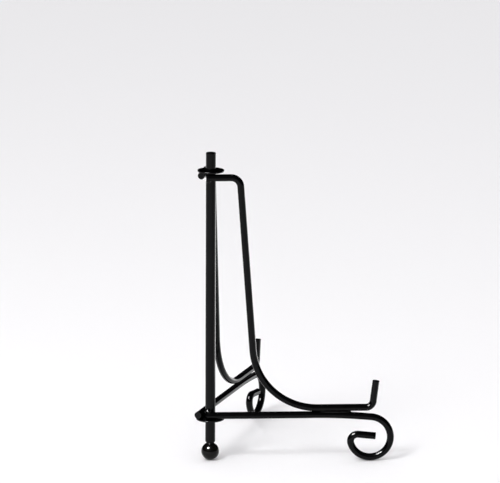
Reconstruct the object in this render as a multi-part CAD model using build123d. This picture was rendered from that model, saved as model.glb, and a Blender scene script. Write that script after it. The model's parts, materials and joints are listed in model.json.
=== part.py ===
"""Folding tabletop display easel of black iron wire.

Millimetres, +Z up.  The centre post stands on the Z axis, the table is z = 0, and the displayed
picture faces -Y.  The left side frame (towards -X) is welded to the post.  The right side frame
(towards +X) swings on the post: flat washers welded to its two wires turn on the post, one above the
top rods and one below the foot wires.
"""
import os
from math import cos, radians, sin

from build123d import *

# Stock
POST_RADIUS = 3.2
WIRE_RADIUS = 2.25
WELD_SEAT = 0.02          # wires that touch are modelled this far apart, bridged by their weld

# Centre post and foot
POST_TOP = 200.2
POST_BOTTOM = 11.9
POST_CHAMFER = 0.35
BALL_RADIUS = 5.7
NECK_RADIUS = 2.7
NECK_DEPTH = 1.4

# Side frames, seen from above
SPREAD = 33.5             # each frame's angle from straight ahead
LEFT, RIGHT = -1, 1
SWING_CLEARANCE = 0.3     # between the post and the right frame's wires
TOP_ROD_START = {LEFT: -3.4, RIGHT: -2.0}       # cut ends, measured ahead of the post's centre
FOOT_WIRE_START = {LEFT: -2.6, RIGHT: -7.2}

# Foot wire, from the post forward: a level arm, then a gentle droop and three bends that curl under
# into the front foot
ARM_LENGTH = 66.7
SCROLL_BENDS = [(355.0, 5.8), (13.6, 97.0), (12.9, 152.2), (4.4, 111.1)]   # radius, turn
SCROLL_TAIL = 11.1

# Back wire, from the post forward: top rod, leaning upright, long bend, ledge, lip
TOP_ROD_HEIGHT = 185.2
TOP_ROD_LENGTH = 12.4
TOP_BEND_RADIUS = 6.1
UPRIGHT_TURN = 85.6       # the upright leans forward 4.4 degrees on its way down
LONG_BEND_RADIUS = 41.6
LIP_START = 98.9
LIP_BEND_RADIUS = 4.6
LIP_TURN = 83.0
LIP_LENGTH = 13.5

# Hinge washers of the right frame
WASHER_BORE_RADIUS = POST_RADIUS + 0.08
WASHER_THICKNESS = 1.0
TOP_WASHER_RADIUS = 8.45
TOP_WASHER_GAP = 0.7      # above the top rods
BOTTOM_WASHER_RADIUS = 9.1
BOTTOM_WASHER_GAP = 0.4   # below the foot wires

# Weld beads
BEAD_RADIUS = 1.5
LEDGE_BEAD_RADIUS = 1.1
LEDGE_WELD_REACH = 79.5   # distance ahead of the post
LEDGE_WELD_LENGTH = 19.0

# The scroll rests on the table, which sets the height of the arm, and the arm carries the ledge.
first_turn = radians(SCROLL_BENDS[0][1])
second_turn = first_turn + radians(SCROLL_BENDS[1][1])
scroll_drop = (
    SCROLL_BENDS[0][0] * (1 - cos(first_turn))
    + SCROLL_BENDS[1][0] * (cos(first_turn) - cos(second_turn))
    + SCROLL_BENDS[2][0] * (cos(second_turn) + 1)
)
ARM_HEIGHT = WIRE_RADIUS + scroll_drop
LEDGE_HEIGHT = ARM_HEIGHT + 2 * WIRE_RADIUS + WELD_SEAT

LEFT_OFFSET = POST_RADIUS + WIRE_RADIUS + WELD_SEAT
RIGHT_OFFSET = POST_RADIUS + WIRE_RADIUS + SWING_CLEARANCE


def ahead(side):
    """Unit vector along a side frame, away from the post."""
    return Vector(side * sin(radians(SPREAD)), -cos(radians(SPREAD)), 0)


def outward(side):
    """Unit vector across a side frame, away from the other frame."""
    return Vector(side * cos(radians(SPREAD)), sin(radians(SPREAD)), 0)


def offset_of(side):
    return LEFT_OFFSET if side == LEFT else RIGHT_OFFSET


def place(side, reach, height, off=None):
    """A point at a distance ahead of the post, a height, and a distance outward from its axis."""
    across = offset_of(side) if off is None else off
    return ahead(side) * reach + outward(side) * across + Vector(0, 0, height)


def frame_plane(side):
    """Upright plane of a side frame: local x runs ahead, local y runs up."""
    return Plane(
        origin=outward(side) * offset_of(side),
        x_dir=ahead(side),
        z_dir=ahead(side).cross(Vector(0, 0, 1)),
    )


def bent_line(start, bends, tail):
    """Edges of a wire bent in one plane; bends holds (straight, radius, turn), turn up positive."""
    edges = []
    point = Vector(*start)
    heading = 0.0
    for straight, radius, turn in bends:
        along = Vector(cos(radians(heading)), sin(radians(heading)))
        if straight > 0:
            edges.append(Line(point, point + along * straight))
            point = point + along * straight
        arc = JernArc(point, along, radius, turn)
        edges.append(arc)
        point = arc @ 1
        heading += turn
    along = Vector(cos(radians(heading)), sin(radians(heading)))
    edges.append(Line(point, point + along * tail))
    return edges


def round_wire(edges):
    path = Wire(edges)
    section = Plane(origin=path @ 0, z_dir=path % 0) * Circle(WIRE_RADIUS)
    return sweep(section, path=path)


def side_wire(side, start, height, bends, tail):
    """One of a frame's wires, from its cut end beside the post."""
    straight, radius, turn = bends[0]
    run = [(straight - start, radius, turn)] + bends[1:]
    return round_wire([frame_plane(side) * edge for edge in bent_line((start, height), run, tail)])


def back_wire(side):
    bend_drop = (TOP_BEND_RADIUS + LONG_BEND_RADIUS) * (1 - cos(radians(UPRIGHT_TURN)))
    upright = (TOP_ROD_HEIGHT - LEDGE_HEIGHT - bend_drop) / sin(radians(UPRIGHT_TURN))
    ledge_start = (
        TOP_ROD_LENGTH
        + (TOP_BEND_RADIUS + LONG_BEND_RADIUS) * sin(radians(UPRIGHT_TURN))
        + upright * cos(radians(UPRIGHT_TURN))
    )
    bends = [
        (TOP_ROD_LENGTH, TOP_BEND_RADIUS, -UPRIGHT_TURN),
        (upright, LONG_BEND_RADIUS, UPRIGHT_TURN),
        (LIP_START - ledge_start, LIP_BEND_RADIUS, LIP_TURN),
    ]
    return side_wire(side, TOP_ROD_START[side], TOP_ROD_HEIGHT, bends, LIP_LENGTH)


def foot_wire(side):
    bends = [(0, radius, -turn) for radius, turn in SCROLL_BENDS]
    bends[0] = (ARM_LENGTH, bends[0][1], bends[0][2])
    return side_wire(side, FOOT_WIRE_START[side], ARM_HEIGHT, bends, SCROLL_TAIL)


def bead(centre, radius=BEAD_RADIUS):
    return Pos(*centre) * Sphere(radius)


def ledge_weld(side, upper, lower):
    """Bead laid in the outer groove between a ledge and the arm that carries it."""
    middle = (ARM_HEIGHT + LEDGE_HEIGHT) / 2
    across = offset_of(side) + LEDGE_BEAD_RADIUS
    start = place(side, LEDGE_WELD_REACH - LEDGE_WELD_LENGTH / 2, middle, across)
    section = Plane(origin=start, z_dir=ahead(side)) * Circle(LEDGE_BEAD_RADIUS)
    run = extrude(section, LEDGE_WELD_LENGTH, dir=ahead(side))
    ends = bead(start, LEDGE_BEAD_RADIUS) + bead(
        start + ahead(side) * LEDGE_WELD_LENGTH, LEDGE_BEAD_RADIUS
    )
    return run + ends - upper - lower


def post_weld(height, post, wire):
    """Bead in the groove between the post and the left frame's wire."""
    centre = place(LEFT, -BEAD_RADIUS, height, POST_RADIUS + BEAD_RADIUS / 2)
    return bead(centre) - post - wire


def hinge_washer(radius, underside):
    disc = Pos(0, 0, underside + WASHER_THICKNESS / 2) * Cylinder(radius, WASHER_THICKNESS)
    bore = Pos(0, 0, underside) * Cylinder(WASHER_BORE_RADIUS, 4 * WASHER_THICKNESS)
    ring = disc - bore
    rims = ring.edges().filter_by(GeomType.CIRCLE).sort_by(lambda edge: edge.radius)[-2:]
    return fillet(rims, WASHER_THICKNESS / 4)


def washer_weld(radius, height, washer, wire):
    """Bead where a hinge washer's rim crosses the right frame's wire."""
    reach = (radius**2 - RIGHT_OFFSET**2) ** 0.5
    return bead(place(RIGHT, reach, height)) - washer - wire


def centre_post():
    rod = Pos(0, 0, (POST_TOP + POST_BOTTOM) / 2) * Cylinder(POST_RADIUS, POST_TOP - POST_BOTTOM)
    return chamfer(rod.edges().filter_by(GeomType.CIRCLE), POST_CHAMFER)


def ball_weld(ball):
    neck = Pos(0, 0, POST_BOTTOM - NECK_DEPTH / 2) * Cylinder(NECK_RADIUS, NECK_DEPTH)
    return neck - ball


parts = {}
parts["centre_post"] = centre_post()
parts["ball_foot"] = Pos(0, 0, BALL_RADIUS) * Sphere(BALL_RADIUS)
parts["ball_weld"] = ball_weld(parts["ball_foot"])

for name, side in (("left", LEFT), ("right", RIGHT)):
    parts[name + "_back_wire"] = back_wire(side)
    parts[name + "_foot_wire"] = foot_wire(side)
    parts[name + "_ledge_weld"] = ledge_weld(
        side, parts[name + "_back_wire"], parts[name + "_foot_wire"]
    )

parts["upper_post_weld"] = post_weld(
    TOP_ROD_HEIGHT - WIRE_RADIUS, parts["centre_post"], parts["left_back_wire"]
)
parts["lower_post_weld"] = post_weld(
    ARM_HEIGHT + WIRE_RADIUS, parts["centre_post"], parts["left_foot_wire"]
)

upper_seat = TOP_ROD_HEIGHT + WIRE_RADIUS + TOP_WASHER_GAP
lower_seat = ARM_HEIGHT - WIRE_RADIUS - BOTTOM_WASHER_GAP
parts["upper_hinge_washer"] = hinge_washer(TOP_WASHER_RADIUS, upper_seat)
parts["lower_hinge_washer"] = hinge_washer(BOTTOM_WASHER_RADIUS, lower_seat - WASHER_THICKNESS)
parts["upper_washer_weld"] = washer_weld(
    TOP_WASHER_RADIUS, upper_seat, parts["upper_hinge_washer"], parts["right_back_wire"]
)
parts["lower_washer_weld"] = washer_weld(
    BOTTOM_WASHER_RADIUS, lower_seat, parts["lower_hinge_washer"], parts["right_foot_wire"]
)

os.makedirs("parts", exist_ok=True)
for name, shape in parts.items():
    export_step(shape, "parts/" + name + ".step")
    print(name, round(shape.volume, 1))
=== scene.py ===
"""Tabletop display easel of gloss black iron wire, looked at from behind and to its left."""

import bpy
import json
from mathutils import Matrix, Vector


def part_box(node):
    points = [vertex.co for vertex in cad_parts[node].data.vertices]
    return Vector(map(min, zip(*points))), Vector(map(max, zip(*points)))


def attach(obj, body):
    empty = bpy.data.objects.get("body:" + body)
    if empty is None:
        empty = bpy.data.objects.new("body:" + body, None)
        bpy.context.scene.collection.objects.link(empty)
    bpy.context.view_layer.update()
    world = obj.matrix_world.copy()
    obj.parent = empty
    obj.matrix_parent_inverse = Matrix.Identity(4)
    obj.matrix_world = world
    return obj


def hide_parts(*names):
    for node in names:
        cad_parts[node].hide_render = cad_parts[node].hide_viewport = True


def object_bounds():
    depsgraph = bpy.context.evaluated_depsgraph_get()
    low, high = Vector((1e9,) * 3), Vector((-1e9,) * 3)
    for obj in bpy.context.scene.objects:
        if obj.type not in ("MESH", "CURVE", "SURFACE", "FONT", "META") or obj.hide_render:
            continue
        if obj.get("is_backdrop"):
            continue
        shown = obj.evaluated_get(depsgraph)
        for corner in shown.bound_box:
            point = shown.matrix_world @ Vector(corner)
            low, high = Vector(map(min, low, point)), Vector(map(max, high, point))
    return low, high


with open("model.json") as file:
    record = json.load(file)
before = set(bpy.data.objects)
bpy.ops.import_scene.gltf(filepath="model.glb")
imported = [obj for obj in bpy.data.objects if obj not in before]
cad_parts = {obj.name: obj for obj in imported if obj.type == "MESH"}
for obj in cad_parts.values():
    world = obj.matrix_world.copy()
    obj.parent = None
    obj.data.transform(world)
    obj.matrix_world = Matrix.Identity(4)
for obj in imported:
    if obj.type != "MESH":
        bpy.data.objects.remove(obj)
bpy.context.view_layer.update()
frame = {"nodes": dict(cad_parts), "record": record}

import json
from math import cos, pi, radians, sin

import bmesh
import bpy
from mathutils import Matrix, Vector, noise

MM = 0.001
LEDGE_BEAD = 1.1 * MM         # radius of the beads between ledge and arm

# ---------------------------------------------------------------- camera
CAMERA_PLACE = Vector((-1.6539, 1.2034, 0.6318))
CAMERA_HEADING = -36.732       # degrees from +X, seen from above
CAMERA_DOWN = 13.436
CAMERA_ROLL = -0.31
SENSOR_WIDTH = 36.0
FOCAL_LENGTH = 240.8


def add_object(name, data):
    obj = bpy.data.objects.new(name, data)
    bpy.context.scene.collection.objects.link(obj)
    return obj


def make_camera():
    data = bpy.data.cameras.new("camera")
    data.sensor_width = SENSOR_WIDTH
    data.lens = FOCAL_LENGTH
    data.clip_start = 0.05
    data.clip_end = 50.0
    heading, down, roll = radians(CAMERA_HEADING), radians(CAMERA_DOWN), radians(CAMERA_ROLL)
    forward = Vector((cos(heading) * cos(down), sin(heading) * cos(down), -sin(down)))
    right = Vector((sin(heading), -cos(heading), 0.0))
    below = forward.cross(right)
    rolled_right = right * cos(roll) + below * sin(roll)
    rolled_up = right * sin(roll) - below * cos(roll)
    turn = Matrix((rolled_right, rolled_up, -forward)).transposed()
    camera = add_object("camera", data)
    camera.matrix_world = Matrix.Translation(CAMERA_PLACE) @ turn.to_4x4()
    bpy.context.scene.camera = camera


# ---------------------------------------------------------------- materials
BLACK = (0.0009, 0.0009, 0.0011)
BALL_BLACK = (0.0022, 0.0022, 0.0018)
CLOUD_SCALE = 170.0            # mottling of colour and gloss, per metre
GRIT_SCALE = 260.0             # dust nibs under the film, per metre


def mapped(nodes, links, value, low, high, start, end):
    """A value between low and high, stretched to run from start to end."""
    stretch = nodes.new("ShaderNodeMapRange")
    stretch.inputs["From Min"].default_value = low
    stretch.inputs["From Max"].default_value = high
    stretch.inputs["To Min"].default_value = start
    stretch.inputs["To Max"].default_value = end
    links.new(value, stretch.inputs["Value"])
    return stretch.outputs["Result"]


def lacquer(name, base, roughness, level, wave_size, wave_depth, nibs, haze):
    """Gloss black lacquer: a glossy film that pooled slightly unevenly over dark drawn metal."""
    material = bpy.data.materials.new(name)
    material.use_nodes = True
    nodes, links = material.node_tree.nodes, material.node_tree.links
    shader = nodes["Principled BSDF"]
    place = nodes.new("ShaderNodeTexCoord")

    cloud = nodes.new("ShaderNodeTexNoise")
    cloud.inputs["Scale"].default_value = CLOUD_SCALE
    cloud.inputs["Detail"].default_value = 4.0
    links.new(place.outputs["Object"], cloud.inputs["Vector"])

    shade = nodes.new("ShaderNodeValToRGB")
    shade.color_ramp.elements[0].position = 0.3
    shade.color_ramp.elements[0].color = (*[c * 0.6 for c in base], 1.0)
    shade.color_ramp.elements[1].position = 0.75
    shade.color_ramp.elements[1].color = (*[c * 1.6 for c in base], 1.0)
    links.new(cloud.outputs["Fac"], shade.inputs["Fac"])
    links.new(shade.outputs["Color"], shader.inputs["Base Color"])

    gloss = mapped(nodes, links, cloud.outputs["Fac"], 0.25, 0.75, roughness * 0.6, roughness * 1.5)
    links.new(gloss, shader.inputs["Roughness"])

    wave = nodes.new("ShaderNodeTexNoise")
    wave.inputs["Scale"].default_value = 1.0 / wave_size
    wave.inputs["Detail"].default_value = 2.0
    links.new(place.outputs["Object"], wave.inputs["Vector"])
    grit = nodes.new("ShaderNodeTexVoronoi")
    grit.inputs["Scale"].default_value = GRIT_SCALE
    links.new(place.outputs["Object"], grit.inputs["Vector"])
    height = nodes.new("ShaderNodeMath")
    height.operation = "ADD"
    links.new(wave.outputs["Fac"], height.inputs[0])
    links.new(mapped(nodes, links, grit.outputs["Distance"], 0.0, 0.16, nibs, 0.0), height.inputs[1])
    bump = nodes.new("ShaderNodeBump")
    bump.inputs["Strength"].default_value = 0.5
    bump.inputs["Distance"].default_value = wave_depth
    links.new(height.outputs["Value"], bump.inputs["Height"])
    links.new(bump.outputs["Normal"], shader.inputs["Normal"])

    shader.inputs["IOR"].default_value = 1.2
    shader.inputs["Specular IOR Level"].default_value = level
    shader.inputs["Coat Weight"].default_value = haze
    shader.inputs["Coat Roughness"].default_value = 0.25
    return material


def paint(obj, material):
    obj.data.materials.clear()
    obj.data.materials.append(material)
    for face in obj.data.polygons:
        face.use_smooth = True


# ---------------------------------------------------------------- weld beads
def mesh_piece(name, bm):
    mesh = bpy.data.meshes.new(name)
    bm.to_mesh(mesh)
    bm.free()
    return add_object(name, mesh)


def ring_solid(name, bm, loops):
    """Skins a row of equal rings of vertices and closes both ends."""
    for first, second in zip(loops, loops[1:]):
        for side in range(len(first)):
            after = (side + 1) % len(first)
            bm.faces.new((first[side], first[after], second[after], second[side]))
    bm.faces.new(list(reversed(loops[0])))
    bm.faces.new(loops[-1])
    bmesh.ops.recalc_face_normals(bm, faces=bm.faces[:])
    return mesh_piece(name, bm)


def lump(name, centre, radii, seed, rough=0.16):
    """An irregular, rounded blob of weld metal; radii run along X, Y and Z."""
    bm = bmesh.new()
    bmesh.ops.create_icosphere(bm, subdivisions=4, radius=1.0)
    for vert in bm.verts:
        way = vert.co.normalized()
        swell = 1.0 + rough * noise.noise(way * 1.7 + Vector((seed, 2.0 * seed, 0.0)))
        swell += 0.35 * rough * noise.noise(way * 4.5 + Vector((0.0, seed, 3.0 * seed)))
        swell = min(swell, 1.0 + 0.5 * rough)
        vert.co = centre + Vector([part * swell * size for part, size in zip(way, radii)])
    return mesh_piece(name, bm)


def ripple_bead(name, start, end, radius, across, seed):
    """A laid bead with overlapping ripples and tapered ends between two points."""
    along = (end - start).normalized()
    up = along.cross(across).normalized()
    length = (end - start).length
    rings, sides = 72, 24
    bm = bmesh.new()
    loops = []
    for ring in range(1, rings):
        t = ring / rings
        taper = min(1.0, sin(pi * t) ** 0.45)
        wander = 0.4 * noise.noise(Vector((seed, 4.0 * t, 0.0)))
        ripple = 1.0 - 0.10 * abs(sin(pi * 5.0 * t + wander))
        loop = []
        for side in range(sides):
            turn = 2.0 * pi * side / sides
            way = across * cos(turn) + up * sin(turn)
            spot = Vector((3.0 * cos(turn), 3.0 * sin(turn), 9.0 * t)) + Vector((seed, 0, 0))
            size = radius * min(1.0, taper * ripple * (1.0 + 0.10 * noise.noise(spot)))
            loop.append(bm.verts.new(start + along * (length * t) + way * size))
        loops.append(loop)
    return ring_solid(name, bm, loops)


def collar(name, low, high, radius, seed):
    """The lumpy neck of weld between the post and its ball."""
    rings, sides = 18, 64
    bm = bmesh.new()
    loops = []
    for ring in range(rings + 1):
        t = ring / rings
        loop = []
        for side in range(sides):
            turn = 2.0 * pi * side / sides
            way = Vector((cos(turn), sin(turn), 0.0))
            wobble = noise.noise(way * 1.6 + Vector((seed, 0.0, 3.0 * t)))
            size = radius * min(1.0, 0.93 + 0.10 * wobble + 0.05 * (2.0 * t - 1.0) ** 2)
            loop.append(bm.verts.new(way * size + Vector((0.0, 0.0, low + (high - low) * t))))
        loops.append(loop)
    return ring_solid(name, bm, loops)


def make_welds():
    """Each weld bead of the frame, as irregular laid metal in the same place."""
    beads = {}
    tacks = ("upper_post_weld", "lower_post_weld", "upper_washer_weld", "lower_washer_weld")
    for seed, node in enumerate(tacks, 3):
        low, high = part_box(node)
        beads[node] = lump(node + "_bead", (low + high) / 2, (high - low) / 2, seed * 1.37)
    for seed, (node, side) in enumerate((("left_ledge_weld", -1), ("right_ledge_weld", 1))):
        low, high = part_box(node)
        centre, half = (low + high) / 2, (high - low) / 2
        inset = LEDGE_BEAD * 0.6
        reach = Vector((side * (half.x - inset), -(half.y - inset), 0.0))
        across = Vector((reach.y, -reach.x, 0.0)).normalized()
        start, end = centre - reach, centre + reach
        beads[node] = ripple_bead(node + "_bead", start, end, LEDGE_BEAD, across, 4.1 + seed)
    low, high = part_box("ball_weld")
    sunk, radius = 0.3 * MM, (high.x - low.x) / 2
    beads["ball_weld"] = collar("ball_weld_bead", low.z - sunk, high.z + 0.1 * MM, radius, 2.6)
    return beads


# ---------------------------------------------------------------- stage
FLOOR_REACH = 14.0
KEY_DISTANCE = 1.5
BAND_DISTANCE = 2.6
CARD_PLACE = Vector((0.33, -0.62, 0.003))     # bright card lying beyond the right frame


def make_floor():
    mesh = bpy.data.meshes.new("floor")
    size = FLOOR_REACH
    corners = [(-size, -size, 0.0), (size, -size, 0.0), (size, size, 0.0), (-size, size, 0.0)]
    mesh.from_pydata(corners, [], [(0, 1, 2, 3)])
    material = bpy.data.materials.new("white_sweep")
    material.use_nodes = True
    shader = material.node_tree.nodes["Principled BSDF"]
    shader.inputs["Base Color"].default_value = (0.94, 0.93, 0.95, 1.0)
    shader.inputs["Roughness"].default_value = 0.7
    shader.inputs["Specular IOR Level"].default_value = 0.1
    mesh.materials.append(material)
    add_object("floor", mesh)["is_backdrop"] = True


def softbox(name, place, target, size, power, shape="RECTANGLE", lights=True, mirrored=True):
    """An area light; lights=False keeps it for reflections, mirrored=False out of them."""
    data = bpy.data.lights.new(name, "AREA")
    data.shape = shape
    data.size, data.size_y = size
    data.energy = power
    light = add_object(name, data)
    aim = (Vector(target) - Vector(place)).to_track_quat("-Z", "Y")
    light.matrix_world = Matrix.Translation(Vector(place)) @ aim.to_matrix().to_4x4()
    light.visible_diffuse = lights
    light.visible_glossy = mirrored
    light.visible_camera = False


def make_world(strength):
    world = bpy.data.worlds.new("studio")
    world.use_nodes = True
    sky = world.node_tree.nodes["Background"]
    sky.inputs["Color"].default_value = (1.0, 1.0, 1.0, 1.0)
    sky.inputs["Strength"].default_value = strength
    world.cycles_visibility.glossy = False
    bpy.context.scene.world = world


def toward(azimuth, rise):
    """Unit vector from the easel, measured from the camera's side: left positive, up positive."""
    turn = radians(CAMERA_HEADING + 180.0 - azimuth)
    level = cos(radians(rise))
    return Vector((cos(turn) * level, sin(turn) * level, sin(radians(rise))))


def make_lights():
    lowest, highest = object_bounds()
    middle = (Vector(lowest) + Vector(highest)) / 2
    key_place = middle + toward(38.0, 46.0) * KEY_DISTANCE
    softbox("key", key_place, middle, (0.42, 0.42), 8.0, "DISK", mirrored=False)
    softbox("glint", key_place, middle, (0.56, 0.56), 380.0, "DISK", lights=False)
    band_place = middle + toward(-4.0, 18.0) * BAND_DISTANCE
    softbox("band", band_place, middle, (1.5, 1.5), 1.2, lights=False)
    card_top = CARD_PLACE + Vector((0, 0, 1))
    softbox("card", CARD_PLACE, card_top, (1.1, 0.9), 7.5, lights=False)


# ---------------------------------------------------------------- scene
make_camera()
bpy.context.scene.view_settings.view_transform = "Standard"
make_floor()
make_world(0.88)
make_lights()

finishes = {
    name: lacquer(name, *film)
    for name, film in {
        # colour, roughness, reflection level, wave size and depth, nibs, haze
        "post_lacquer": (BLACK, 0.15, 0.5, 0.004, 0.00005, 0.06, 0.02),
        "wire_lacquer": (BLACK, 0.09, 0.5, 0.0035, 0.00005, 0.08, 0.01),
        "ball_lacquer": (BALL_BLACK, 0.07, 0.6, 0.004, 0.00004, 0.05, 0.05),
        "washer_lacquer": (BLACK, 0.12, 0.6, 0.003, 0.00006, 0.1, 0.01),
        "weld_lacquer": (BLACK, 0.07, 0.6, 0.0012, 0.00012, 0.15, 0.01),
    }.items()
}
slots = {part["node"]: part["material_slot"] for part in frame["record"]["subparts"]}
members = frame["record"]["behaviour"]["bodies"]
bodies = {node: body for body in members for node in members[body]}
for name, node in frame["nodes"].items():
    paint(node, finishes[slots[name]])
for name, piece in make_welds().items():
    paint(piece, finishes[slots[name]])
    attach(piece, bodies[name])
    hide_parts(name)
